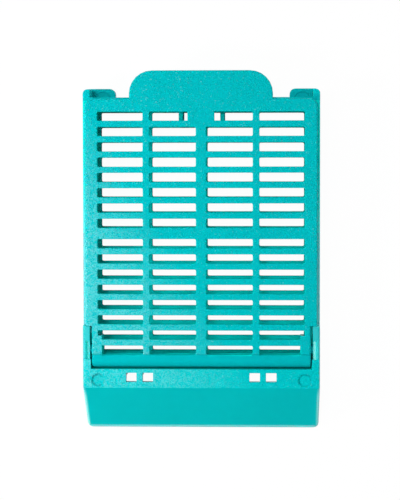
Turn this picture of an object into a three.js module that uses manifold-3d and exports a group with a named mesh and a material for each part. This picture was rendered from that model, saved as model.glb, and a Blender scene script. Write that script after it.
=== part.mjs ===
// Tissue cassette: a perforated base moulding with a slanted writing face, and a
// perforated lid moulding that turns on two trunnions beside the base's deck.
// Units are millimetres.  +X is across the cassette, +Y towards the thumb tab, +Z up.
// The origin is under the middle of the closed cassette, on its underside.

import * as THREE from 'three';
import { mergeVertices } from 'three/addons/utils/BufferGeometryUtils.js';
import Module from 'manifold-3d';

// ---------------------------------------------------------------- driving dimensions

// Grid of slots, the same in the floor and in the lid
const COLUMN_RIB_CENTRE = 1.22;   // rib on the centre line
const COLUMN_RIB_OUTER = 0.78;    // rib between an inner and an outer slot
const INNER_SLOT_LENGTH = 5.58;
const OUTER_SLOT_LENGTH = 5.46;
const SLOT_WIDTH = 1.09;
const ROW_PITCH = 1.83;
const ROWS_PER_BLOCK = 8;         // rows in front of and behind the middle rib
const MIDDLE_RIB = 1.35;
const SLOT_CORNER = 0.15;

// Base
const HEIGHT = 6.6;               // underside to the top of the closed lid
const WALL = 0.85;                // side, end and cross walls
const FLOOR = 1.0;
const SIDE_MARGIN = 0.97;         // outer slots to the side walls
const END_MARGIN = 0.87;          // last slots to the end wall
const FLANGE_REACH = 1.2;         // corner flanges beyond the end wall
const FLANGE_WIDTH = 3.6;
const FLANGE_HEIGHT = 1.4;
const FLANGE_CORNER = 0.7;
const FLANGE_ROOT = 0.25;         // fillet where a flange meets the end wall
const EAR_REACH = 1.0;            // side walls beyond the end wall
const EAR_CORNER = 0.55;

// Deck and writing face
const DECK_DROP = 0.1;            // deck below the top of the lid
const DECK_LENGTH = 2.25;
const DECK_THICKNESS = 1.0;
const WRITING_RUN = 5.65;         // horizontal length of the slanted face
const WRITING_THICKNESS = 1.0;
const FOOT_HEIGHT = 0.35;
const FOOT_CORNER = 0.65;
const WINDOW_WIDTH = 1.26;        // square windows through the deck
const WINDOW_LENGTH = 1.1;
const WINDOW_PITCH = 1.99;        // between the two windows of a pair
const WINDOW_PAIR_X = 7.42;       // middle of a pair, from the centre line
const WINDOW_STRIP = 0.45;        // deck left behind the windows
const MARK_RADIUS = 0.7;          // ejector marks on the deck
const MARK_DEPTH = 0.12;
const MARK_SIDE_INSET = 1.82;     // from the base's side
const MARK_INSET = 1.33;          // from the deck's rear edge
const FLANGE_MARK_RADIUS = 0.95;  // ejector marks on the flanges
const FLANGE_MARK_SIDE_INSET = 2.05;

// Lid
const LID_THICKNESS = 1.1;
const SEAT_GAP = 0.05;            // closed lid to the tops of the walls
const LID_OVERLAP = 0.52;         // lid over the side walls
const LID_INSET = 0.2;            // lid's back edge inside the end wall's outer face
const LID_CORNER = 0.95;
const TAB_WIDTH = 17.2;
const TAB_REACH = 3.37;
const TAB_CORNER = 2.75;
const LIP_REACH = 1.55;           // lid's front beyond the last slots
const LIP_THICKNESS = 1.1;
const LIP_ROUND = 0.9;            // top of the lid's front edge

// Hinge
const HINGE_DROP = 1.35;          // axis below the top of the lid
const HINGE_RADIUS = 2.07;        // lip and knuckles about the hinge axis
const HINGE_GAP = 0.2;            // round the lip, to the deck and the trough
const HINGE_SIDE_GAP = 0.26;      // lid to the cheeks
const TROUGH_SIDE_GAP = 0.15;     // lid to the cheeks, in front of the hinge bay
const BAY_REACH = 1.1;            // hinge bay and scoops, in front of the axis and behind it
const KNUCKLE_WIDTH = 1.22;
const KNUCKLE_REACH = 1.79;       // behind the axis
const TRUNNION_RADIUS = 0.6;
const TRUNNION_REACH = 0.42;      // into the cheek
const TRUNNION_CLEARANCE = 0.08;
const TRUNNION_END_GAP = 0.1;
const SHOULDER_Y = 2.95;          // lid's wide part starts this far behind the axis
const SHOULDER_GAP = 0.1;
const SCOOP_RADIUS = 0.54;        // lead-in cut above each trunnion's pocket
const SCOOP_LIFT = 0.2;           // its centre above the deck

// Latch
const LATCH_PAD_WIDTH = 3.2;      // solid lid over the latch
const TONGUE_WIDTH = 2.8;
const TONGUE_THICKNESS = 0.6;
const TONGUE_LENGTH = 2.6;        // below the lid's underside
const NOSE_REACH = 0.23;
const NOSE_HEIGHT = 0.5;
const CATCH_REACH = 0.2;
const CATCH_HEIGHT = 0.5;
const CATCH_LIFT = 0.3;           // catch above the nose
const LATCH_CLEARANCE = 0.12;     // nose to catch: the nose stands clear of it
const GUSSET_X = 2.51;
const GUSSET_THICKNESS = 0.5;
const GUSSET_DROP = 1.3;          // below the lid's underside

const ROUND_FACETS = 24;          // facets of a small full circle
const LIP_STEPS = 6;              // half the facets of each arc of the lip
const SWEEP_FACETS = 48;          // facets of a circle about the hinge axis
const CORNER_STEPS = 3;           // half the facets of one arc of an outline
const SLOT_STEPS = 1;             // the same for the corners of a slot
const PASS = 1;                   // how far a cutter runs past what it cuts
const BITE = 0.02;                // how far a fillet runs into the wall that it meets

// ---------------------------------------------------------------- derived positions

// Across: half widths from the centre line
const INNER_SLOT_X = COLUMN_RIB_CENTRE / 2;
const OUTER_SLOT_X = INNER_SLOT_X + INNER_SLOT_LENGTH + COLUMN_RIB_OUTER;
const GRID_HALF = OUTER_SLOT_X + OUTER_SLOT_LENGTH;
const CHAMBER_HALF = GRID_HALF + SIDE_MARGIN;
const BASE_HALF = CHAMBER_HALF + WALL;
const LID_HALF = CHAMBER_HALF + LID_OVERLAP;
const LID_FRONT_HALF = CHAMBER_HALF - HINGE_SIDE_GAP;
const TROUGH_HALF = LID_FRONT_HALF + TROUGH_SIDE_GAP;
const KNUCKLE_INNER_X = LID_FRONT_HALF - KNUCKLE_WIDTH;

// Along: from the foot of the writing face at the front to the tip of the thumb tab
const BLOCK_LENGTH = (ROWS_PER_BLOCK - 1) * ROW_PITCH + SLOT_WIDTH;
const GRID_LENGTH = 2 * BLOCK_LENGTH + MIDDLE_RIB;
const FRONT_LENGTH = WRITING_RUN + DECK_LENGTH + HINGE_GAP + LIP_REACH;
const REAR_LENGTH = END_MARGIN + WALL - LID_INSET + TAB_REACH;
const LENGTH = FRONT_LENGTH + GRID_LENGTH + REAR_LENGTH;
const FOOT_Y = -LENGTH / 2;
const DECK_FRONT_Y = FOOT_Y + WRITING_RUN;
const DECK_REAR_Y = DECK_FRONT_Y + DECK_LENGTH;
const LID_FRONT_Y = DECK_REAR_Y + HINGE_GAP;
const GRID_FRONT_Y = LID_FRONT_Y + LIP_REACH;
const GRID_BACK_Y = GRID_FRONT_Y + GRID_LENGTH;
const END_INNER_Y = GRID_BACK_Y + END_MARGIN;
const END_OUTER_Y = END_INNER_Y + WALL;
const LID_BACK_Y = END_OUTER_Y - LID_INSET;
const TAB_TIP_Y = LID_BACK_Y + TAB_REACH;
const AXIS_Y = LID_FRONT_Y + HINGE_RADIUS;
const KNUCKLE_BACK_Y = AXIS_Y + KNUCKLE_REACH;

// Up
const AXIS_Z = HEIGHT - HINGE_DROP;
const LID_UNDER = HEIGHT - LID_THICKNESS;
const WALL_TOP = LID_UNDER - SEAT_GAP;
const DECK_TOP = HEIGHT - DECK_DROP;
const TROUGH_FLOOR = AXIS_Z - HINGE_RADIUS - HINGE_GAP;

// ---------------------------------------------------------------- solids and cutters

const wasm = await Module();
wasm.setup();

/** Turns a closed three.js geometry into a solid that can be joined and cut. */
function solid(geometry) {
  geometry.deleteAttribute('normal');
  geometry.deleteAttribute('uv');
  const merged = mergeVertices(geometry);
  return new wasm.Manifold(new wasm.Mesh({
    numProp: 3,
    vertProperties: merged.attributes.position.array,
    triVerts: new Uint32Array(merged.index.array),
  }));
}

/** Box between two corners. */
function box([x0, y0, z0], [x1, y1, z1]) {
  const geometry = new THREE.BoxGeometry(x1 - x0, y1 - y0, z1 - z0);
  return solid(geometry.translate((x0 + x1) / 2, (y0 + y1) / 2, (z0 + z1) / 2));
}

/** Plan outline raised between two heights. */
function plate(outline, z0, z1, cornerSteps = CORNER_STEPS) {
  const geometry = new THREE.ExtrudeGeometry(outline, {
    depth: z1 - z0,
    bevelEnabled: false,
    curveSegments: cornerSteps,
  });
  return solid(geometry.translate(0, 0, z0));
}

/** Side profile, drawn in Y and Z, run across the cassette from x0 to x1. */
function rail(profile, x0, x1, arcSteps = CORNER_STEPS) {
  const geometry = new THREE.ExtrudeGeometry(profile, {
    depth: x1 - x0,
    bevelEnabled: false,
    curveSegments: arcSteps,
  });
  const across = new THREE.Matrix4().makeBasis(
    new THREE.Vector3(0, 1, 0),
    new THREE.Vector3(0, 0, 1),
    new THREE.Vector3(1, 0, 0),
  );
  return solid(geometry.applyMatrix4(across).translate(x0, 0, 0));
}

/** Round bar along X about the hinge axis. */
function hingeBar(radius, x0, x1, facets = ROUND_FACETS) {
  const geometry = new THREE.CylinderGeometry(radius, radius, x1 - x0, facets);
  return solid(geometry.rotateZ(Math.PI / 2).translate((x0 + x1) / 2, AXIS_Y, AXIS_Z));
}

/** Upright cone or cylinder between two heights. */
function upright(bottomRadius, topRadius, x, y, z0, z1) {
  const geometry = new THREE.CylinderGeometry(topRadius, bottomRadius, z1 - z0, ROUND_FACETS);
  return solid(geometry.rotateX(Math.PI / 2).translate(x, y, (z0 + z1) / 2));
}

/** Copy on the other side of the centre line, joined to the first. */
function bothSides(part) {
  return part.add(part.mirror([1, 0, 0]));
}

/** Closed outline through corners given as [x, y, radius]; radius 0 is a sharp corner. */
function roundedOutline(corners) {
  const outline = new THREE.Shape();
  corners.forEach(([x, y, radius], index) => {
    const corner = new THREE.Vector2(x, y);
    const before = corners[(index + corners.length - 1) % corners.length];
    const after = corners[(index + 1) % corners.length];
    const start = stepTowards(corner, before, radius);
    const end = stepTowards(corner, after, radius);
    if (index === 0) {
      outline.moveTo(start.x, start.y);
    } else {
      outline.lineTo(start.x, start.y);
    }
    if (radius > 0) {
      addCorner(outline, corner, start, end, radius);
    }
  });
  return outline;
}

/** Point on the way from a square corner towards a neighbouring corner. */
function stepTowards(corner, [x, y], distance) {
  const way = new THREE.Vector2(x, y).sub(corner).normalize();
  return corner.clone().addScaledVector(way, distance);
}

/** Quarter arc that rounds a square corner. */
function addCorner(outline, corner, start, end, radius) {
  const centre = start.clone().add(end).sub(corner);
  const from = start.clone().sub(centre).angle();
  const to = end.clone().sub(centre).angle();
  const turn = start.clone().sub(centre).cross(end.clone().sub(centre));
  outline.absarc(centre.x, centre.y, radius, from, to, turn < 0);
}

// ---------------------------------------------------------------- grid of slots

/** Front edges of the rows of slots, from the deck to the thumb tab. */
function rowEdges() {
  const edges = [];
  for (const blockY of [GRID_FRONT_Y, GRID_FRONT_Y + BLOCK_LENGTH + MIDDLE_RIB]) {
    for (let row = 0; row < ROWS_PER_BLOCK; row += 1) {
      edges.push(blockY + row * ROW_PITCH);
    }
  }
  return edges;
}

/** All the slots as one cutter between two heights. */
function slotCutter(z0, z1) {
  const columns = [
    [INNER_SLOT_X, INNER_SLOT_LENGTH],
    [OUTER_SLOT_X, OUTER_SLOT_LENGTH],
  ];
  let cutter = null;
  for (const y of rowEdges()) {
    for (const [x, length] of columns) {
      const slot = plate(roundedOutline([
        [x, y, SLOT_CORNER],
        [x + length, y, SLOT_CORNER],
        [x + length, y + SLOT_WIDTH, SLOT_CORNER],
        [x, y + SLOT_WIDTH, SLOT_CORNER],
      ]), z0, z1, SLOT_STEPS);
      cutter = cutter ? cutter.add(slot) : slot;
    }
  }
  return bothSides(cutter);
}

// ---------------------------------------------------------------- base

/** Side wall: low beside the chamber, a cheek beside the hinge, slanted at the front. */
function sideWallProfile() {
  const cheekRadius = shoulderRadius() - SHOULDER_GAP;
  const cheekTop = Math.asin((DECK_TOP - AXIS_Z) / cheekRadius);
  const cheekFoot = Math.asin((WALL_TOP - AXIS_Z) / cheekRadius);
  const profile = new THREE.Shape();
  profile.moveTo(FOOT_Y, 0);
  profile.lineTo(END_OUTER_Y + EAR_REACH, 0);
  profile.lineTo(END_OUTER_Y + EAR_REACH, WALL_TOP);
  profile.absarc(AXIS_Y, AXIS_Z, cheekRadius, cheekFoot, cheekTop, false);
  profile.lineTo(DECK_FRONT_Y, DECK_TOP);
  profile.lineTo(FOOT_Y, FOOT_HEIGHT);
  return profile;
}

/** Radius, about the hinge axis, of the front faces of the lid's wide part. */
function shoulderRadius() {
  return Math.hypot(SHOULDER_Y, HEIGHT - AXIS_Z);
}

/** Cross wall, trough, deck and writing face, as one folded sheet. */
function frontProfile() {
  const drop = DECK_TOP - FOOT_HEIGHT;
  const slantShift = WRITING_THICKNESS * Math.hypot(WRITING_RUN, drop) / drop;
  const slantInnerY = (z) => FOOT_Y + (z - FOOT_HEIGHT) * WRITING_RUN / drop + slantShift;
  const hollowTop = DECK_TOP - DECK_THICKNESS;
  const troughUnder = TROUGH_FLOOR - WALL;
  const profile = new THREE.Shape();
  profile.moveTo(GRID_FRONT_Y, 0);
  profile.lineTo(GRID_FRONT_Y, TROUGH_FLOOR);
  profile.lineTo(DECK_REAR_Y, TROUGH_FLOOR);
  profile.lineTo(DECK_REAR_Y, DECK_TOP);
  profile.lineTo(DECK_FRONT_Y, DECK_TOP);
  profile.lineTo(FOOT_Y, FOOT_HEIGHT);
  profile.lineTo(FOOT_Y, 0);
  profile.lineTo(slantInnerY(0), 0);
  profile.lineTo(slantInnerY(hollowTop), hollowTop);
  profile.lineTo(DECK_REAR_Y - WALL, hollowTop);
  profile.lineTo(DECK_REAR_Y - WALL, troughUnder);
  profile.lineTo(GRID_FRONT_Y - WALL, troughUnder);
  profile.lineTo(GRID_FRONT_Y - WALL, 0);
  return profile;
}

/** Corner flange behind the end wall, with its ejector mark. */
function cornerFlange() {
  const backY = END_OUTER_Y + FLANGE_REACH;
  const innerX = BASE_HALF - FLANGE_WIDTH;
  const outline = new THREE.Shape();
  outline.moveTo(BASE_HALF, END_INNER_Y);
  outline.lineTo(BASE_HALF, backY - EAR_CORNER);
  outline.absarc(BASE_HALF - EAR_CORNER, backY - EAR_CORNER, EAR_CORNER, 0, Math.PI / 2, false);
  outline.absarc(innerX + FLANGE_CORNER, backY - FLANGE_CORNER, FLANGE_CORNER,
    Math.PI / 2, Math.PI, false);
  outline.absarc(innerX - FLANGE_ROOT, END_OUTER_Y + FLANGE_ROOT - BITE, FLANGE_ROOT,
    0, -Math.PI / 2, true);
  outline.lineTo(innerX - FLANGE_ROOT, END_INNER_Y);
  const mark = upright(FLANGE_MARK_RADIUS, FLANGE_MARK_RADIUS, BASE_HALF - FLANGE_MARK_SIDE_INSET,
    LID_BACK_Y, FLANGE_HEIGHT - MARK_DEPTH, FLANGE_HEIGHT + PASS);
  return plate(outline, 0, FLANGE_HEIGHT).subtract(mark);
}

/** Square windows and ejector marks on one half of the deck. */
function deckCuts() {
  const windowBack = DECK_REAR_Y - WINDOW_STRIP;
  let cuts = upright(MARK_RADIUS, MARK_RADIUS, BASE_HALF - MARK_SIDE_INSET,
    DECK_REAR_Y - MARK_INSET, DECK_TOP - MARK_DEPTH, DECK_TOP + PASS);
  for (const side of [-1, 1]) {
    const x = WINDOW_PAIR_X + side * WINDOW_PITCH / 2;
    cuts = cuts.add(box(
      [x - WINDOW_WIDTH / 2, windowBack - WINDOW_LENGTH, -PASS],
      [x + WINDOW_WIDTH / 2, windowBack, DECK_TOP + PASS],
    ));
  }
  return cuts;
}

/** Pocket for a trunnion and the scooped lead-in above it, on one cheek. */
function pocketCuts() {
  const pocketEnd = CHAMBER_HALF + TRUNNION_REACH + TRUNNION_END_GAP;
  const pocket = hingeBar(TRUNNION_RADIUS + TRUNNION_CLEARANCE, TROUGH_HALF, pocketEnd);
  const groove = new THREE.CylinderGeometry(SCOOP_RADIUS, SCOOP_RADIUS, 2 * BAY_REACH,
    ROUND_FACETS);
  const scoop = solid(groove.translate(CHAMBER_HALF, AXIS_Y, DECK_TOP + SCOOP_LIFT));
  return pocket.add(scoop);
}

/** Catch on the end wall and the two gussets that flank the latch. */
function latchSeat() {
  const noseTop = LID_UNDER - TONGUE_LENGTH + NOSE_HEIGHT;
  const catchUnder = noseTop + CATCH_LIFT;
  const catchBar = box(
    [-TONGUE_WIDTH / 2, END_INNER_Y - CATCH_REACH, catchUnder],
    [TONGUE_WIDTH / 2, END_OUTER_Y, catchUnder + CATCH_HEIGHT],
  );
  const gusset = box(
    [GUSSET_X - GUSSET_THICKNESS / 2, GRID_BACK_Y - ROW_PITCH, 0],
    [GUSSET_X + GUSSET_THICKNESS / 2, END_OUTER_Y, LID_UNDER - GUSSET_DROP],
  );
  return catchBar.add(bothSides(gusset));
}

/** Base moulding. */
function makeBase() {
  const floor = box([-BASE_HALF, GRID_FRONT_Y - WALL, 0], [BASE_HALF, END_OUTER_Y, FLOOR])
    .subtract(slotCutter(-PASS, FLOOR + PASS));
  const endWall = box([-BASE_HALF, END_INNER_Y, 0], [BASE_HALF, END_OUTER_Y, WALL_TOP]);
  const sideWalls = bothSides(rail(sideWallProfile(), CHAMBER_HALF, BASE_HALF));
  const front = rail(frontProfile(), -BASE_HALF, BASE_HALF);
  const troughEnds = bothSides(box(
    [TROUGH_HALF, DECK_REAR_Y - WALL / 2, TROUGH_FLOOR - WALL / 2],
    [BASE_HALF, AXIS_Y - BAY_REACH, DECK_TOP],
  ));
  const plan = plate(roundedOutline([
    [-BASE_HALF, FOOT_Y, FOOT_CORNER],
    [BASE_HALF, FOOT_Y, FOOT_CORNER],
    [BASE_HALF, END_OUTER_Y + EAR_REACH, EAR_CORNER],
    [-BASE_HALF, END_OUTER_Y + EAR_REACH, EAR_CORNER],
  ]), -PASS, HEIGHT + PASS);
  return floor
    .add(endWall)
    .add(sideWalls)
    .add(front)
    .add(troughEnds)
    .intersect(plan)
    .add(bothSides(cornerFlange()))
    .add(latchSeat())
    .subtract(bothSides(deckCuts()))
    .subtract(bothSides(pocketCuts()));
}

// ---------------------------------------------------------------- lid

/** Plan outline of the lid's plate, from the lip to the thumb tab. */
function lidOutline() {
  const shoulderY = AXIS_Y + SHOULDER_Y - SHOULDER_GAP;
  const half = [
    [LID_FRONT_HALF, GRID_FRONT_Y, 0],
    [LID_FRONT_HALF, shoulderY, 0],
    [LID_HALF, shoulderY, 0],
    [LID_HALF, LID_BACK_Y, LID_CORNER],
    [TAB_WIDTH / 2, LID_BACK_Y, 0],
    [TAB_WIDTH / 2, TAB_TIP_Y, TAB_CORNER],
  ];
  const otherHalf = half.map(([x, y, radius]) => [-x, y, radius]).reverse();
  return roundedOutline([...half, ...otherHalf]);
}

/** Angle about the axis at which an arc of a radius, below the axis, meets a Y position. */
function angleBelow(radius, y) {
  return 2 * Math.PI - Math.acos((y - AXIS_Y) / radius);
}

/** Front of the lid before it is hollowed: rounded on top, then down and under the axis. */
function frontBlank() {
  const roundY = LID_FRONT_Y + LIP_ROUND;
  const profile = new THREE.Shape();
  profile.moveTo(KNUCKLE_BACK_Y, HEIGHT);
  profile.lineTo(roundY, HEIGHT);
  profile.absarc(roundY, HEIGHT - LIP_ROUND, LIP_ROUND, Math.PI / 2, Math.PI, false);
  profile.absarc(AXIS_Y, AXIS_Z, HINGE_RADIUS,
    Math.PI, angleBelow(HINGE_RADIUS, KNUCKLE_BACK_Y), false);
  return rail(profile, -LID_FRONT_HALF, LID_FRONT_HALF, LIP_STEPS);
}

/** Hollow between the two knuckles, which leaves the lip's wall and its return. */
function lipHollow() {
  const innerRadius = HINGE_RADIUS - LIP_THICKNESS;
  const under = AXIS_Z - HINGE_RADIUS - PASS;
  const profile = new THREE.Shape();
  profile.moveTo(GRID_FRONT_Y, under);
  profile.lineTo(KNUCKLE_BACK_Y + PASS, under);
  profile.lineTo(KNUCKLE_BACK_Y + PASS, LID_UNDER);
  profile.lineTo(AXIS_Y - innerRadius, LID_UNDER);
  profile.absarc(AXIS_Y, AXIS_Z, innerRadius,
    Math.PI, angleBelow(innerRadius, GRID_FRONT_Y), false);
  return rail(profile, -KNUCKLE_INNER_X, KNUCKLE_INNER_X, LIP_STEPS);
}

/** Slots through the lid, which end at the knuckles. */
function lidSlots() {
  const knuckle = box(
    [KNUCKLE_INNER_X, LID_FRONT_Y, 0],
    [LID_FRONT_HALF, KNUCKLE_BACK_Y, HEIGHT + 2 * PASS],
  );
  return slotCutter(LID_UNDER - PASS, HEIGHT + PASS).subtract(bothSides(knuckle));
}

/** Tongue under the lid, with the nose that goes below the catch. */
function latchTongue() {
  const noseTip = END_INNER_Y - CATCH_REACH - LATCH_CLEARANCE;
  const tongueBack = noseTip - NOSE_REACH;
  const tip = LID_UNDER - TONGUE_LENGTH;
  const profile = new THREE.Shape();
  profile.moveTo(tongueBack - TONGUE_THICKNESS, tip);
  profile.lineTo(tongueBack, tip);
  profile.lineTo(noseTip, tip + NOSE_HEIGHT / 2);
  profile.lineTo(noseTip, tip + NOSE_HEIGHT);
  profile.lineTo(tongueBack, tip + NOSE_HEIGHT);
  profile.lineTo(tongueBack, HEIGHT);
  profile.lineTo(tongueBack - TONGUE_THICKNESS, HEIGHT);
  return rail(profile, -TONGUE_WIDTH / 2, TONGUE_WIDTH / 2);
}

/** Lid moulding, closed. */
function makeLid() {
  const latchPad = box(
    [-LATCH_PAD_WIDTH / 2, GRID_BACK_Y - ROW_PITCH, LID_UNDER],
    [LATCH_PAD_WIDTH / 2, LID_BACK_Y, HEIGHT],
  );
  const shoulderSweep = hingeBar(shoulderRadius(), LID_FRONT_HALF, BASE_HALF, SWEEP_FACETS);
  const trunnion = hingeBar(TRUNNION_RADIUS, LID_FRONT_HALF - TRUNNION_REACH,
    CHAMBER_HALF + TRUNNION_REACH);
  return plate(lidOutline(), LID_UNDER, HEIGHT)
    .add(frontBlank())
    .subtract(lipHollow())
    .subtract(lidSlots())
    .add(latchPad)
    .add(latchTongue())
    .subtract(bothSides(shoulderSweep))
    .add(bothSides(trunnion));
}

// ---------------------------------------------------------------- assembly

/** Named mesh of a finished solid. */
function moulding(name, shape, material) {
  const { vertProperties, triVerts } = shape.getMesh();
  const geometry = new THREE.BufferGeometry();
  geometry.setAttribute('position', new THREE.BufferAttribute(vertProperties, 3));
  geometry.setIndex(new THREE.BufferAttribute(triVerts, 1));
  geometry.computeVertexNormals();
  const mesh = new THREE.Mesh(geometry, material);
  mesh.name = name;
  return mesh;
}

const acetalSatin = new THREE.MeshStandardMaterial({
  color: 0x0fb3ba,
  roughness: 0.45,
  metalness: 0,
});
const acetalGrained = new THREE.MeshStandardMaterial({
  color: 0x14b6bd,
  roughness: 0.55,
  metalness: 0,
});

const cassette = new THREE.Group();
cassette.add(moulding('base', makeBase(), acetalSatin));
cassette.add(moulding('lid', makeLid(), acetalGrained));

export default cassette;
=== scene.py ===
import math

import bmesh
import bpy
from mathutils import Matrix, Vector


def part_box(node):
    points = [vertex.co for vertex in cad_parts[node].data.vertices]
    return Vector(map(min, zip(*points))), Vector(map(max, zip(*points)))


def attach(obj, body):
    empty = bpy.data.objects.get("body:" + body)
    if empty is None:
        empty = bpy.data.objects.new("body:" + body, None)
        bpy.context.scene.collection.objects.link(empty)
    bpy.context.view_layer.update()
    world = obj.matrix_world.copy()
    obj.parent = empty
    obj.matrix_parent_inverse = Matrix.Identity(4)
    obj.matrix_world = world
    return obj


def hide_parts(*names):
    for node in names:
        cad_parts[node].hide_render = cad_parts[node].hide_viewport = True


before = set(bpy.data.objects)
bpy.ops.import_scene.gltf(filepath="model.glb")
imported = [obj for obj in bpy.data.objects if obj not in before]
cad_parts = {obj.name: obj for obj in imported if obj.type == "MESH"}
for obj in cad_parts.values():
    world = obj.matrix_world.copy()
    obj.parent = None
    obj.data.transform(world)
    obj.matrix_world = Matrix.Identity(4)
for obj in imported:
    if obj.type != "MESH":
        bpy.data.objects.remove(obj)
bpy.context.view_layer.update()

# Looks of a tissue cassette: two acetal mouldings, a base and a hinged lid, on a white table.
# Metres.  +X is across the cassette, +Y towards the thumb tab, +Z up.

MM = 0.001

base_low, base_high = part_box("base")
lid_low, lid_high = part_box("lid")

# ------------------------------------------------------------------ places on the mouldings

# Heights
DECK_TOP = base_high.z
LID_TOP = lid_high.z
LID_UNDER = LID_TOP - 1.1 * MM
WALL_TOP = LID_UNDER - 0.05 * MM
HINGE_HEIGHT = LID_TOP - 1.35 * MM
FLOOR_TOP = 1.0 * MM
FLANGE_TOP = 1.4 * MM
FOOT_TOP = 0.35 * MM
MARK_DEPTH = 0.12 * MM                       # ejector marks, pressed into the deck

# Across, from the centre line
SIDE_INNER = base_high.x - 0.85 * MM         # inner faces of the side walls
GRID_SIDE = lid_high.x - 1.45 * MM           # just outside the outer slots
FRONT_SIDE = lid_high.x - 0.78 * MM          # sides of the lid's narrow front

# Along, from the front to the thumb tab
WRITING_TOP = base_low.y + 5.65 * MM         # front edge of the deck
DECK_MIDDLE = lid_low.y - 1.35 * MM          # line through the deck's windows and marks
DECK_GRAIN_REAR = lid_low.y + 0.95 * MM      # the cheeks are polished behind this line
LID_GRAIN_FRONT = lid_low.y + 1.6 * MM       # the rolled lip is polished in front of this line
HINGE_Y = lid_low.y + 2.07 * MM
SHOULDER = lid_low.y + 5.02 * MM             # where the lid's wide part starts
GRID_REAR = lid_high.y - 4.85 * MM           # just behind the last slots
MIDDLE_RIB = (GRID_REAR + LID_GRAIN_FRONT) / 2
END_WALL_REAR = base_high.y - 1.2 * MM

SLANT_RISE = (DECK_TOP - FOOT_TOP) / (WRITING_TOP - base_low.y)
MARK_PLACE = Vector((base_high.x - 1.82 * MM, lid_low.y - 1.53 * MM))
MARK_REACH = 0.75 * MM                       # just outside the rim of an ejector mark
TOUCH = 0.02 * MM                            # how near counts as lying on a plane

# Planes that part the mouldings, so that no flat face has a hole in it
CUTS_X = (1.85 * MM, 3.5 * MM, 9.7 * MM)     # through the latch and the inner and outer slots
BASE_CUTS_Y = (DECK_MIDDLE, HINGE_Y, MIDDLE_RIB, END_WALL_REAR - 0.4 * MM)
LID_CUTS_Y = (HINGE_Y, MIDDLE_RIB)

# Which way faces look, as parts of their normals
LEVEL = 0.98                                 # Z of a face that looks straight up
SLANTED = 0.3                                # Z, and -Y, that the writing face goes beyond
RISING = 0.1                                 # Z of a face that looks up at all

# Radii of the rounded edges
SIDE_ROUND = 0.25 * MM                       # writing face, and sides of deck and cheeks
RIM_ROUND = 0.2 * MM                         # top edge of the lid's outline
WALL_ROUND = 0.12 * MM                       # tops of the base's low walls, ears and flanges
CREASE_ROUND = 0.1 * MM                      # where the deck turns down into the writing face
MARK_ROUND = 0.1 * MM                        # ejector marks on the deck
UNDER_ROUND = 0.08 * MM                      # lower edges of both mouldings
SLOT_ROUND = 0.07 * MM
FINE_ROUND = 0.03 * MM                       # hinge, latch and windows
NO_ROUND = 0.0
ROUND_STEPS = 3
SHARP_TURN = math.radians(40)                # convex edges that turn further are rounded
SMOOTH_TURN = math.radians(50)               # edges that turn less are shaded smooth
PLANE_TURN = math.radians(0.5)               # faces that turn less are one flat face
WELD = 0.0002 * MM

# ------------------------------------------------------------------ finishes

# Colours of the resin, by finish
TEAL = (0.0005, 0.47, 0.5, 1.0)
TEAL_POLISHED = (0.0005, 0.44, 0.47, 1.0)
# painted shade: a darker copy of the teal on the rolled lip, where it turns down away from the light
TEAL_LIP_PAINTED_SHADE = (0.0005, 0.39, 0.42, 1.0)
# painted light: a lighter, greener copy of the teal on faces inside the cassette and low on the
# cheeks, which lie in shade
TEAL_INSIDE_PAINTED_LIGHT = (0.0005, 0.6, 0.57, 1.0)
TEAL_CHEEK = (0.0005, 0.44, 0.46, 1.0)
# painted light: a lighter copy of the grained teal on the deck, where more light falls
TEAL_DECK_PAINTED_LIGHT = (0.0005, 0.52, 0.54, 1.0)
TEAL_WRITING = (0.0003, 0.48, 0.5, 1.0)
# painted highlight: pale teal along the sides and foot of the writing face, where its rounded edges
# catch the light
TEAL_PAINTED_HIGHLIGHT = (0.2, 0.72, 0.7, 1.0)
PAINTED_HIGHLIGHT_WIDTH = 0.45 * MM                        # width of the painted highlight along the writing face's outline

# Resin.  Scales of noise are in cells to the metre
RESIN_IOR = 1.25
SHINE_TINT = (0.05, 1.0, 1.0, 1.0)
SATIN_SHINE = 0.2
WRITING_SHINE = 0.02
INSIDE_SHINE = 0.0
GLOW_DEPTH = (0.02, 1.0, 0.75)               # how far each colour travels inside the resin
GLOW_SCALE = 0.8 * MM
POLISHED_GLOW = 0.7
GRAINED_GLOW = 0.5
POLISHED_CLOUDING = 0.08
GRAINED_CLOUDING = 0.1
CLOUD_SCALE = 160.0
FLOW_SCALE = 900.0
FLOW_STRETCH = (1.0, 0.25, 1.0)              # flow lines run along Y

# Polish
POLISH_ROUGHNESS = 0.35
POLISH_SWING = 0.12                          # how much the roughness varies
POLISH_STRENGTH = 0.25
POLISH_DEPTH = 0.01 * MM
RIPPLE_SCALE = 1400.0
RIPPLE_SHARE = 0.6                           # of the height; the rest is fine lines
LINE_SCALE = 9000.0
LINE_STRETCH = (0.08, 1.0, 1.0)              # lines run along X

# Spark-eroded grain.  Peaks and glints are where its height lies between two levels
GRAIN_SIZE = 0.15 * MM
GRAIN_DEPTH = 0.28 * MM
GRAIN_ROUGHNESS = 0.45
COARSE_SCALE = 0.4                           # of the fine grain's scale
FINE_SHARE = 0.65                            # of the height; the rest is coarse grain
PEAKS = (0.43, 0.58)
GLINTS = (0.61, 0.7)
DECK_GRAIN = (DECK_GRAIN_REAR + 0.2 * MM, DECK_GRAIN_REAR)
LID_GRAIN = (LID_GRAIN_FRONT - 0.1 * MM, LID_GRAIN_FRONT + 0.1 * MM)

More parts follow.
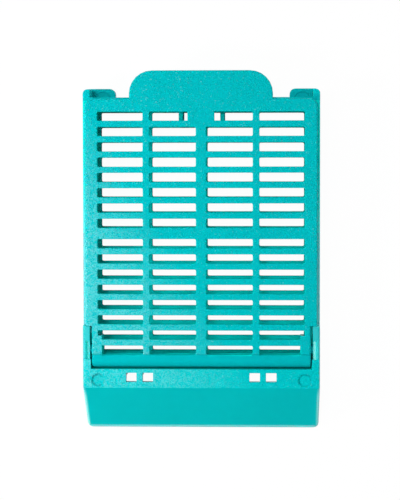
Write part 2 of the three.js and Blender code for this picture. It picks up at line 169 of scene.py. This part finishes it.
# Coat of shine over grain and scuffs
COAT_ROUGHNESS = 0.4
GLINT_IOR = 1.5
HAZE_IOR = 1.8
GLOSS_WAY = (-1.0, -0.6, 0.0)                # the grain shines more towards this side
GLOSS_FROM = 3.3 * MM                        # no shine nearer than this, along the way
GLOSS_TO = 13 * MM                           # full shine beyond this
HAZE_FROM = SIDE_INNER - 0.1 * MM            # scuffs lie outside this line, on both sides
WRITING_HAZE_FROM = base_high.x - 0.35 * MM
HAZE_FADE = 0.3 * MM
HAZE_REAR = 12 * MM                          # no scuffs behind this line
HAZE_FRONT = -6 * MM                         # full scuffs in front of this line
SCUFF_SCALE = 1500.0
SCUFF_FLOOR = 0.4                            # added to the noise of the scuffs
CHEEK_HAZE = 0.5                             # scuffs on the smooth cheeks beside the grain

# Rings round the ejector marks: on the deck, and on the solid part of the lid over the latch
RING_DEPTH = 0.08 * MM
MARK_GLOSS = 0.35                            # share of the shine left inside a ring
DECK_RING = {"Centre": (*MARK_PLACE, 0), "Radius": 0.7 * MM, "Width": 0.35 * MM, "Rise": 3.0}
LID_RING = {
    "Centre": (0, GRID_REAR - 0.6 * MM, 0), "Radius": 0.9 * MM, "Width": 0.2 * MM, "Rise": 0.6,
}

# ------------------------------------------------------------------ shader nodes

FLOAT = "NodeSocketFloat"
COLOUR = "NodeSocketColor"
VECTOR = "NodeSocketVector"
NO_SOCKETS = {}
FIRST = 0                                    # the two inputs of a vector math node
SECOND = 1


def feed(tree, socket, value):
    """Links an output socket to an input socket, or sets the input to a plain value."""
    if isinstance(value, bpy.types.NodeSocket):
        tree.links.new(value, socket)
    else:
        socket.default_value = value


def node(tree, kind, settings=None, **inputs):
    """New shader node with its properties set and its inputs fed."""
    made = tree.nodes.new(kind)
    for name, value in (settings or {}).items():
        setattr(made, name, value)
    for name, value in inputs.items():
        feed(tree, made.inputs[name.replace("_", " ")], value)
    return made


def placed(tree, group, **inputs):
    """A node group placed in a material, with its inputs fed."""
    return node(tree, "ShaderNodeGroup", {"node_tree": group}, **inputs)


def socket_of(sockets, identifier):
    """Socket with an identifier, for nodes whose sockets share one name."""
    return next(socket for socket in sockets if socket.identifier == identifier)


def maths(tree, operation, first, second=0.0):
    """Math node on two sockets or numbers, as its output socket."""
    made = node(tree, "ShaderNodeMath", {"operation": operation})
    feed(tree, made.inputs[FIRST], first)
    feed(tree, made.inputs[SECOND], second)
    return made.outputs["Value"]


def vector_maths(tree, operation, first, second):
    """Vector math node on two sockets or vectors that gives a number, as its output socket."""
    made = node(tree, "ShaderNodeVectorMath", {"operation": operation})
    feed(tree, made.inputs[FIRST], first)
    feed(tree, made.inputs[SECOND], second)
    return made.outputs["Value"]


def ramp(tree, value, start, end, kind="SMOOTHSTEP"):
    """Step of a socket from 0 at start to 1 at end, as its output socket."""
    settings = {"interpolation_type": kind}
    made = node(
        tree, "ShaderNodeMapRange", settings, Value=value, From_Min=start, From_Max=end)
    return made.outputs["Result"]


def share(tree, first, second, first_share):
    """Sum of two sockets, of which the first has a share and the second the rest."""
    first_part = maths(tree, "MULTIPLY", first, first_share)
    second_part = maths(tree, "MULTIPLY", second, 1.0 - first_share)
    return maths(tree, "ADD", first_part, second_part)


def blend(tree, factor, first, second):
    """Colour between two colours, as its output socket."""
    made = node(tree, "ShaderNodeMix", {"data_type": "RGBA"})
    feed(tree, socket_of(made.inputs, "Factor_Float"), factor)
    feed(tree, socket_of(made.inputs, "A_Color"), first)
    feed(tree, socket_of(made.inputs, "B_Color"), second)
    return socket_of(made.outputs, "Result_Color")


def noise(tree, place, scale, **inputs):
    """Noise texture at a place, as its output socket."""
    return node(tree, "ShaderNodeTexNoise", Vector=place, Scale=scale, **inputs).outputs["Fac"]


def object_place(tree):
    """Place on the moulding, in metres, as its output socket."""
    return node(tree, "ShaderNodeTexCoord").outputs["Object"]


def split(tree, place):
    """X, Y and Z of a place, as output sockets by name."""
    return node(tree, "ShaderNodeSeparateXYZ", Vector=place).outputs


def stretched(tree, place, stretch):
    """Place with each axis scaled, as its output socket."""
    return node(tree, "ShaderNodeMapping", Vector=place, Scale=stretch).outputs["Vector"]


# ------------------------------------------------------------------ shader node groups


def new_group(name, inputs, outputs):
    """Empty shader node group with named sockets: the group, and what it is given."""
    group = bpy.data.node_groups.new(name, "ShaderNodeTree")
    for label, kind in inputs.items():
        group.interface.new_socket(label, in_out="INPUT", socket_type=kind)
    for label, kind in outputs.items():
        group.interface.new_socket(label, in_out="OUTPUT", socket_type=kind)
    return group, group.nodes.new("NodeGroupInput").outputs


def put_out(group, **outputs):
    """Links what a node group puts out to its named outputs, and gives the group back."""
    node(group, "NodeGroupOutput", **outputs)
    return group


def make_resin_tone():
    """Colour of moulded resin: faint clouding, and flow lines that run along the moulding."""
    group, given = new_group("resin_tone", {"Colour": COLOUR, "Clouding": FLOAT}, {"Colour": COLOUR})
    place = object_place(group)
    clouds = noise(group, place, CLOUD_SCALE, Detail=2.0)
    flow = noise(group, stretched(group, place, FLOW_STRETCH), FLOW_SCALE, Detail=3.0)
    swing = maths(group, "SUBTRACT", maths(group, "ADD", clouds, flow), 1.0)
    gain = maths(group, "ADD", maths(group, "MULTIPLY", swing, given["Clouding"]), 1.0)
    scaled = node(
        group, "ShaderNodeVectorMath", {"operation": "SCALE"}, Vector=given["Colour"], Scale=gain)
    return put_out(group, Colour=scaled.outputs["Vector"])


def make_spark_grain():
    """Spark-eroded grain that fades in between two lines across the cassette.

    Height, Peaks and Glints are 0 where the zone of the grain is 0, and Colour goes with the zone.
    """
    group, given = new_group(
        "spark_grain",
        {
            "Grain Size": FLOAT, "From Y": FLOAT, "To Y": FLOAT,
            "Smooth Colour": COLOUR, "Grain Colour": COLOUR,
        },
        {"Height": FLOAT, "Peaks": FLOAT, "Glints": FLOAT, "Zone": FLOAT, "Colour": COLOUR},
    )
    place = object_place(group)
    fine_scale = maths(group, "DIVIDE", 1.0, given["Grain Size"])
    coarse_scale = maths(group, "MULTIPLY", fine_scale, COARSE_SCALE)
    fine = noise(group, place, fine_scale, Detail=1.0, Roughness=0.6)
    coarse = noise(group, place, coarse_scale, Detail=1.0, Roughness=0.5)
    height = share(group, fine, coarse, FINE_SHARE)
    peaks = ramp(group, height, *PEAKS, kind="LINEAR")
    glints = ramp(group, height, *GLINTS)
    zone = ramp(group, split(group, place)["Y"], given["From Y"], given["To Y"])
    return put_out(
        group,
        Height=maths(group, "MULTIPLY", height, zone),
        Peaks=maths(group, "MULTIPLY", peaks, zone),
        Glints=maths(group, "MULTIPLY", glints, zone),
        Zone=zone,
        Colour=blend(group, zone, given["Smooth Colour"], given["Grain Colour"]),
    )


def make_polish():
    """Polished mould steel: shallow ripple and fine lines along X, with a roughness."""
    group, given = new_group("polish", {"Roughness": FLOAT}, {"Height": FLOAT, "Roughness": FLOAT})
    place = object_place(group)
    ripple = noise(group, place, RIPPLE_SCALE, Detail=2.0)
    lines = noise(group, stretched(group, place, LINE_STRETCH), LINE_SCALE, Detail=2.0)
    swing = maths(group, "MULTIPLY", maths(group, "SUBTRACT", lines, 0.5), POLISH_SWING)
    return put_out(
        group,
        Height=share(group, ripple, lines, RIPPLE_SHARE),
        Roughness=maths(group, "ADD", given["Roughness"], swing),
    )


def make_side_haze():
    """Scuffed haze on the long sides of the base, strongest beside the hinge."""
    group, given = new_group("side_haze", {"From X": FLOAT}, {"Haze": FLOAT})
    place = object_place(group)
    at = split(group, place)
    out = maths(group, "ABSOLUTE", at["X"])
    side = ramp(group, maths(group, "SUBTRACT", out, given["From X"]), 0.0, HAZE_FADE)
    front = ramp(group, at["Y"], HAZE_REAR, HAZE_FRONT)
    scuffs = maths(group, "ADD", noise(group, place, SCUFF_SCALE, Detail=2.0), SCUFF_FLOOR)
    zone = maths(group, "MULTIPLY", side, front)
    return put_out(group, Haze=maths(group, "MULTIPLY", zone, scuffs))


def make_side_gloss():
    """Shine of worn grain, which grows towards the cassette's front left corner."""
    group, _ = new_group("side_gloss", NO_SOCKETS, {"Gloss": FLOAT})
    across = vector_maths(group, "DOT_PRODUCT", object_place(group), GLOSS_WAY)
    return put_out(group, Gloss=ramp(group, across, GLOSS_FROM, GLOSS_TO, kind="LINEAR"))


def make_ejector_ring():
    """Round step where an ejector pin pressed, at plus and minus X: a height, and the outside."""
    group, given = new_group(
        "ejector_ring",
        {"Centre": VECTOR, "Radius": FLOAT, "Width": FLOAT, "Rise": FLOAT},
        {"Height": FLOAT, "Outside": FLOAT},
    )
    at = split(group, object_place(group))
    folded = node(
        group, "ShaderNodeCombineXYZ", X=maths(group, "ABSOLUTE", at["X"]), Y=at["Y"])
    apart = vector_maths(group, "DISTANCE", folded.outputs["Vector"], given["Centre"])
    past = maths(group, "SUBTRACT", apart, given["Radius"])
    outside = ramp(group, maths(group, "DIVIDE", past, given["Width"]), -0.5, 0.5)
    height = maths(group, "MULTIPLY", outside, given["Rise"])
    return put_out(group, Height=height, Outside=outside)


RESIN_TONE = make_resin_tone()
SPARK_GRAIN = make_spark_grain()
POLISH = make_polish()
SIDE_HAZE = make_side_haze()
SIDE_GLOSS = make_side_gloss()
EJECTOR_RING = make_ejector_ring()

# ------------------------------------------------------------------ materials


def new_material(name):
    """Material with nodes, its tree and its Principled shader."""
    material = bpy.data.materials.new(name)
    material.use_nodes = True
    return material, material.node_tree, material.node_tree.nodes["Principled BSDF"]


def new_acetal(name, shine, glow, coat_ior):
    """Material with a Principled shader set to acetal resin under a coat of shine."""
    material, tree, shader = new_material(name)
    shader.inputs["IOR"].default_value = RESIN_IOR
    shader.inputs["Specular IOR Level"].default_value = shine
    shader.inputs["Specular Tint"].default_value = SHINE_TINT
    shader.inputs["Subsurface Weight"].default_value = glow
    shader.inputs["Subsurface Radius"].default_value = GLOW_DEPTH
    shader.inputs["Subsurface Scale"].default_value = GLOW_SCALE
    shader.inputs["Coat Roughness"].default_value = COAT_ROUGHNESS
    shader.inputs["Coat IOR"].default_value = coat_ior
    return material, tree, shader


def bump(tree, height, **inputs):
    """Bump node on a height, as its output socket."""
    return node(tree, "ShaderNodeBump", Height=height, **inputs).outputs["Normal"]


def polished_acetal(name, colour, shine=SATIN_SHINE, haze_from=HAZE_FROM):
    """Smooth satin faces."""
    material, tree, shader = new_acetal(name, shine, POLISHED_GLOW, HAZE_IOR)
    tone = placed(tree, RESIN_TONE, Colour=colour, Clouding=POLISHED_CLOUDING)
    polish = placed(tree, POLISH, Roughness=POLISH_ROUGHNESS)
    normal = bump(
        tree, polish.outputs["Height"], Strength=POLISH_STRENGTH, Distance=POLISH_DEPTH)
    haze = placed(tree, SIDE_HAZE, From_X=haze_from)
    feed(tree, shader.inputs["Base Color"], tone.outputs["Colour"])
    feed(tree, shader.inputs["Normal"], normal)
    feed(tree, shader.inputs["Roughness"], polish.outputs["Roughness"])
    feed(tree, shader.inputs["Coat Weight"], haze.outputs["Haze"])
    return material


def painted_edge_highlight(tree):
    """Painted highlight along the outline of the writing face, at its sides and along its foot, as a
    mask.
    """
    at = split(tree, object_place(tree))
    out = maths(tree, "ABSOLUTE", at["X"])
    side = ramp(tree, out, base_high.x - PAINTED_HIGHLIGHT_WIDTH, base_high.x - PAINTED_HIGHLIGHT_WIDTH / 3)
    below = ramp(tree, at["Y"], WRITING_TOP, WRITING_TOP - 3 * PAINTED_HIGHLIGHT_WIDTH)
    foot = ramp(tree, at["Y"], base_low.y + PAINTED_HIGHLIGHT_WIDTH, base_low.y + PAINTED_HIGHLIGHT_WIDTH / 2)
    return maths(tree, "MAXIMUM", maths(tree, "MULTIPLY", side, below), foot)


def writing_acetal(name):
    """Matt slanted face, with a pale highlight painted along its outline."""
    material = polished_acetal(name, TEAL_WRITING, WRITING_SHINE, WRITING_HAZE_FROM)
    tree = material.node_tree
    base_colour = tree.nodes["Principled BSDF"].inputs["Base Color"]
    tone = base_colour.links[0].from_socket
    # painted highlight: pale teal blended in along the face's sides and foot
    feed(tree, base_colour, blend(tree, painted_edge_highlight(tree), tone, TEAL_PAINTED_HIGHLIGHT))
    return material


def grain_shine(tree, grain, ring):
    """Weight of the shine over grain and over the smooth cheeks, as its output socket."""
    gloss = placed(tree, SIDE_GLOSS).outputs["Gloss"]
    peaks = maths(tree, "MULTIPLY", gloss, grain["Peaks"])
    unpressed = maths(tree, "MAXIMUM", ring["Outside"], MARK_GLOSS)
    worn = maths(tree, "MULTIPLY", maths(tree, "MAXIMUM", peaks, grain["Glints"]), unpressed)
    haze = placed(tree, SIDE_HAZE, From_X=HAZE_FROM).outputs["Haze"]
    smooth = maths(tree, "MAXIMUM", maths(tree, "SUBTRACT", CHEEK_HAZE, grain["Zone"]))
    return maths(tree, "ADD", worn, maths(tree, "MULTIPLY", haze, smooth))


def grained_acetal(name, smooth_colour, grain_colour, zone, mark):
    """Faces with grain that fades in between the two lines of a zone, and an ejector mark."""
    material, tree, shader = new_acetal(name, SATIN_SHINE, GRAINED_GLOW, GLINT_IOR)
    grain_from, grain_to = zone
    grain = placed(
        tree, SPARK_GRAIN, Grain_Size=GRAIN_SIZE, From_Y=grain_from, To_Y=grain_to,
        Smooth_Colour=smooth_colour, Grain_Colour=grain_colour,
    ).outputs
    tone = placed(tree, RESIN_TONE, Colour=grain["Colour"], Clouding=GRAINED_CLOUDING)
    ring = placed(tree, EJECTOR_RING, **mark).outputs
    grained = bump(tree, grain["Height"], Strength=1.0, Distance=GRAIN_DEPTH)
    pressed = bump(tree, ring["Height"], Strength=1.0, Distance=RING_DEPTH, Normal=grained)
    shader.inputs["Roughness"].default_value = GRAIN_ROUGHNESS
    feed(tree, shader.inputs["Base Color"], tone.outputs["Colour"])
    feed(tree, shader.inputs["Normal"], pressed)
    feed(tree, shader.inputs["Coat Weight"], grain_shine(tree, grain, ring))
    return material


# ------------------------------------------------------------------ rounded edges


def edge_middle(edge):
    """Middle point of an edge."""
    return (edge.verts[0].co + edge.verts[1].co) / 2


def in_grid(at):
    """Whether a place lies within the outline of the grid of slots."""
    return abs(at.x) < GRID_SIDE + TOUCH and LID_GRAIN_FRONT - TOUCH < at.y < GRID_REAR + TOUCH


def lid_round(edge):
    """Radius of one of the lid's edges."""
    at = edge_middle(edge)
    if in_grid(at):
        return SLOT_ROUND if at.z > LID_TOP - TOUCH else FINE_ROUND
    if at.y < SHOULDER + TOUCH and abs(at.x) > FRONT_SIDE + TOUCH:
        return FINE_ROUND
    if at.z > LID_TOP - TOUCH:
        return RIM_ROUND
    if at.y < LID_GRAIN_FRONT and at.z > HINGE_HEIGHT:
        return SLOT_ROUND if abs(at.z - LID_UNDER) < TOUCH else RIM_ROUND
    if at.y < LID_GRAIN_FRONT:
        return NO_ROUND
    if abs(at.z - LID_UNDER) < TOUCH and at.y > SHOULDER:
        return UNDER_ROUND
    return FINE_ROUND


def ear_round(at):
    """Radius of an edge behind the end wall; none where a flange runs out under an ear."""
    if abs(at.z - WALL_TOP) < TOUCH:
        return WALL_ROUND
    if at.z > FLANGE_TOP + TOUCH or at.z < TOUCH:
        return FINE_ROUND
    return WALL_ROUND if abs(at.x) < SIDE_INNER else NO_ROUND


def base_round(edge):
    """Radius of one of the base's edges."""
    at = edge_middle(edge)
    on_side = abs(at.x) > base_high.x - TOUCH
    on_deck = at.z > DECK_TOP - TOUCH
    slant_z = DECK_TOP - (WRITING_TOP - at.y) * SLANT_RISE
    on_slant = at.y < WRITING_TOP - TOUCH and abs(at.z - slant_z) < TOUCH
    if on_slant or on_side and on_deck:
        return SIDE_ROUND
    if on_deck and (Vector((abs(at.x), at.y)) - MARK_PLACE).length < MARK_REACH:
        return MARK_ROUND
    if on_deck and abs(at.y - WRITING_TOP) < TOUCH:
        return CREASE_ROUND
    if at.y > END_WALL_REAR + TOUCH:
        return ear_round(at)
    if on_side:
        return WALL_ROUND if at.z > FLOOR_TOP else UNDER_ROUND
    if abs(at.z - FLOOR_TOP) < TOUCH:
        return SLOT_ROUND
    return FINE_ROUND


# ------------------------------------------------------------------ finish of each face


def base_finish(face):
    """Name of the finish of one of the base's faces."""
    at = face.calc_center_median()
    if face.normal.z > LEVEL and at.z > DECK_TOP - MARK_DEPTH - TOUCH:
        return "grained"
    if face.normal.z > SLANTED and face.normal.y < -SLANTED:
        return "writing"
    inside = abs(at.x) < SIDE_INNER and lid_low.y - MARK_REACH < at.y < GRID_REAR
    in_cheek = abs(at.x) > SIDE_INNER and at.y < SHOULDER and face.normal.z > RISING
    # the inside finish is painted light: a lighter teal on inner and cheek faces that lie in shade
    return "inside" if inside or in_cheek else "polished"


def lid_finish(face):
    """Name of the finish of one of the lid's faces."""
    at = face.calc_center_median()
    on_lip = at.y < LID_GRAIN_FRONT and at.z > HINGE_HEIGHT and face.normal.z > RISING
    on_top = face.normal.z > LEVEL and at.z > LID_TOP - TOUCH
    if on_lip or on_top:
        return "grained"
    inside = abs(at.x) < GRID_SIDE + TOUCH and lid_low.y + TOUCH < at.y < GRID_REAR + TOUCH
    # the inside finish is painted light: a lighter teal on the slot walls and underside, which lie
    # in shade
    return "inside" if inside else "polished"


# ------------------------------------------------------------------ mouldings


def cuts_through(places_y):
    """Planes that part a moulding across X at the cuts on both sides, and across Y."""
    across_x = [((side * x, 0, 0), (1, 0, 0)) for x in CUTS_X for side in (-1, 1)]
    return across_x + [((0, y, 0), (0, 1, 0)) for y in places_y]


def merged_copy(source, cuts):
    """Copy of a CAD node whose triangles are joined into flat faces.

    Each cut is a point and a normal.  The planes pass through the slots and windows, so that no
    flat face has a hole in it.
    """
    shape = bmesh.new()
    shape.from_mesh(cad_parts[source].data)
    bmesh.ops.remove_doubles(shape, verts=shape.verts, dist=WELD)
    for point, normal in cuts:
        parts = [*shape.verts, *shape.edges, *shape.faces]
        made = bmesh.ops.bisect_plane(
            shape, geom=parts, dist=WELD, plane_co=point, plane_no=normal)
        for part in made["geom_cut"]:
            if isinstance(part, bmesh.types.BMEdge):
                part.seam = True
    bmesh.ops.dissolve_limit(
        shape, angle_limit=PLANE_TURN, verts=shape.verts, edges=shape.edges, delimit={"SEAM"})
    return shape


def weigh_edges(shape, round_of):
    """Gives each convex sharp edge the share of the widest rounding that it takes."""
    weights = shape.edges.layers.float.new("bevel_weight_edge")
    for edge in shape.edges:
        edge.smooth = edge.calc_face_angle() < SMOOTH_TURN
        if edge.is_convex and edge.calc_face_angle() > SHARP_TURN:
            edge[weights] = round_of(edge) / SIDE_ROUND


def round_edges(piece):
    """Rounds the weighed edges, and keeps the flat faces between them flat to the eye."""
    bevel = piece.modifiers.new("rounded_edges", "BEVEL")
    bevel.affect = "EDGES"
    bevel.limit_method = "WEIGHT"
    bevel.width = SIDE_ROUND
    bevel.segments = ROUND_STEPS
    bevel.profile = 0.5
    bevel.material = -1
    bevel.use_clamp_overlap = False
    bevel.loop_slide = False
    normals = piece.modifiers.new("flat_faces", "WEIGHTED_NORMAL")
    normals.keep_sharp = True


def new_piece(name, shape):
    """Object whose mesh is a bmesh, which is freed."""
    mesh = bpy.data.meshes.new(name)
    shape.to_mesh(mesh)
    shape.free()
    piece = bpy.data.objects.new(name, mesh)
    bpy.context.scene.collection.objects.link(piece)
    return piece


def make_moulding(source, places_y, round_of, finish_of, finishes):
    """Visible moulding that stands for a CAD node.

    round_of gives each edge its radius, and finish_of gives each face the name of its finish.
    """
    shape = merged_copy(source, cuts_through(places_y))
    names = list(finishes)
    for face in shape.faces:
        face.material_index = names.index(finish_of(face))
        face.smooth = True
    weigh_edges(shape, round_of)
    piece = new_piece(source + "_moulding", shape)
    for material in finishes.values():
        piece.data.materials.append(material)
    round_edges(piece)
    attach(piece, source)
    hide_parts(source)


make_moulding("base", BASE_CUTS_Y, base_round, base_finish, {
    "polished": polished_acetal("base_polished", TEAL_POLISHED),
    "grained": grained_acetal("base_grained", TEAL_CHEEK, TEAL_DECK_PAINTED_LIGHT, DECK_GRAIN, DECK_RING),
    "writing": writing_acetal("base_writing"),
    "inside": polished_acetal("base_inside_painted_light", TEAL_INSIDE_PAINTED_LIGHT, INSIDE_SHINE),
})
make_moulding("lid", LID_CUTS_Y, lid_round, lid_finish, {
    "polished": polished_acetal("lid_polished", TEAL_POLISHED),
    "grained": grained_acetal("lid_grained", TEAL_LIP_PAINTED_SHADE, TEAL, LID_GRAIN, LID_RING),
    "inside": polished_acetal("lid_inside_painted_light", TEAL_INSIDE_PAINTED_LIGHT, INSIDE_SHINE),
})

# ------------------------------------------------------------------ table and light

WHITE = (1.0, 1.0, 1.0, 1.0)
TABLE_WHITE = (0.9, 0.9, 0.9, 1.0)
TABLE_ROUGHNESS = 0.9
TABLE_REACH = 1.5
TABLE_DROP = 0.02 * MM                       # keeps the table clear of the base's underside
PLAIN_WHITE = 0.97                           # share of the table's look; the rest keeps a shadow
AMBIENT = 0.22                               # strength of the light from all round
MIDDLE = (0.0, 0.0, 0.0)


def seen_directly(tree):
    """1 for what camera, glossy and transmission rays see, 0 for what lights the object."""
    path = node(tree, "ShaderNodeLightPath").outputs
    seen = maths(tree, "MAXIMUM", path["Is Camera Ray"], path["Is Glossy Ray"])
    return maths(tree, "MAXIMUM", seen, path["Is Transmission Ray"])


def make_table():
    """White table top that keeps a faint shadow."""
    shape = bmesh.new()
    bmesh.ops.create_grid(shape, x_segments=1, y_segments=1, size=TABLE_REACH)
    bmesh.ops.translate(shape, verts=shape.verts, vec=(0.0, 0.0, -TABLE_DROP))
    table = new_piece("table", shape)
    material, tree, shader = new_material("white_table")
    shader.inputs["Base Color"].default_value = TABLE_WHITE
    shader.inputs["Roughness"].default_value = TABLE_ROUGHNESS
    shader.inputs["Specular IOR Level"].default_value = 0.0
    glow = node(tree, "ShaderNodeEmission", Color=WHITE, Strength=1.0)
    mix = node(tree, "ShaderNodeMixShader")
    feed(tree, mix.inputs["Fac"], maths(tree, "MULTIPLY", seen_directly(tree), PLAIN_WHITE))
    feed(tree, socket_of(mix.inputs, "Shader"), shader.outputs["BSDF"])
    feed(tree, socket_of(mix.inputs, "Shader_001"), glow.outputs["Emission"])
    feed(tree, tree.nodes["Material Output"].inputs["Surface"], mix.outputs["Shader"])
    table.data.materials.append(material)


def make_world():
    """Even white light from all round, seen as plain white."""
    world = bpy.data.worlds.new("studio")
    bpy.context.scene.world = world
    world.use_nodes = True
    tree = world.node_tree
    light = tree.nodes["Background"]
    light.inputs["Color"].default_value = WHITE
    extra = maths(tree, "MULTIPLY", seen_directly(tree), 1.0 - AMBIENT)
    feed(tree, light.inputs["Strength"], maths(tree, "ADD", extra, AMBIENT))


def make_lamp(name, place, size, power, aim=MIDDLE):
    """Square soft lamp that looks at a point."""
    lamp = bpy.data.lights.new(name, "AREA")
    lamp.size = size
    lamp.energy = power
    holder = bpy.data.objects.new(name, lamp)
    holder.location = place
    holder.rotation_euler = (Vector(aim) - Vector(place)).to_track_quat("-Z", "Y").to_euler()
    bpy.context.scene.collection.objects.link(holder)


make_table()
make_world()
make_lamp("left_lamp", (-0.06, -0.006, 0.06), size=0.02, power=0.04, aim=(0.0, -0.004, 0.0))
make_lamp("top_lamp", (-0.1, 0.08, 0.58), size=0.1, power=1.25)
make_lamp("side_lamp", (-0.22, 0.0, 0.5), size=0.1, power=0.38)
make_lamp("right_lamp", (0.18, 0.0, 0.257), size=0.1, power=0.11)
make_lamp("rear_lamp", (0.05, 0.4, 0.35), size=0.3, power=0.35)
make_lamp("front_lamp", (-0.02, -0.4, 0.35), size=0.3, power=0.3)

# ------------------------------------------------------------------ camera

CAMERA_PLACE = Vector((7.8052, 10.4259, 216.6)) * MM
CAMERA_AIM = Vector((-0.1133, 0.4083, 6.6)) * MM
CAMERA_LENS = 126.62                         # focal length and sensor in millimetres
CAMERA_SENSOR = 36.0
CAMERA_TWIST = -0.0014                       # turn about the line of sight, in radians
CAMERA_NEAR = 0.01
CAMERA_FAR = 10.0


def make_camera():
    """Camera over the cassette, with the thumb tab at the top of the picture."""
    ahead = (CAMERA_AIM - CAMERA_PLACE).normalized()
    right = ahead.cross(Vector((0.0, 1.0, 0.0))).normalized()
    above = right.cross(ahead)
    turn = Matrix((right, above, -ahead)).transposed().to_4x4()
    data = bpy.data.cameras.new("camera")
    data.lens = CAMERA_LENS
    data.sensor_width = CAMERA_SENSOR
    data.clip_start = CAMERA_NEAR
    data.clip_end = CAMERA_FAR
    camera = bpy.data.objects.new("camera", data)
    twist = Matrix.Rotation(CAMERA_TWIST, 4, "Z")
    camera.matrix_world = Matrix.Translation(CAMERA_PLACE) @ turn @ twist
    bpy.context.scene.collection.objects.link(camera)
    bpy.context.scene.camera = camera


make_camera()
bpy.context.scene.view_settings.view_transform = "Standard"
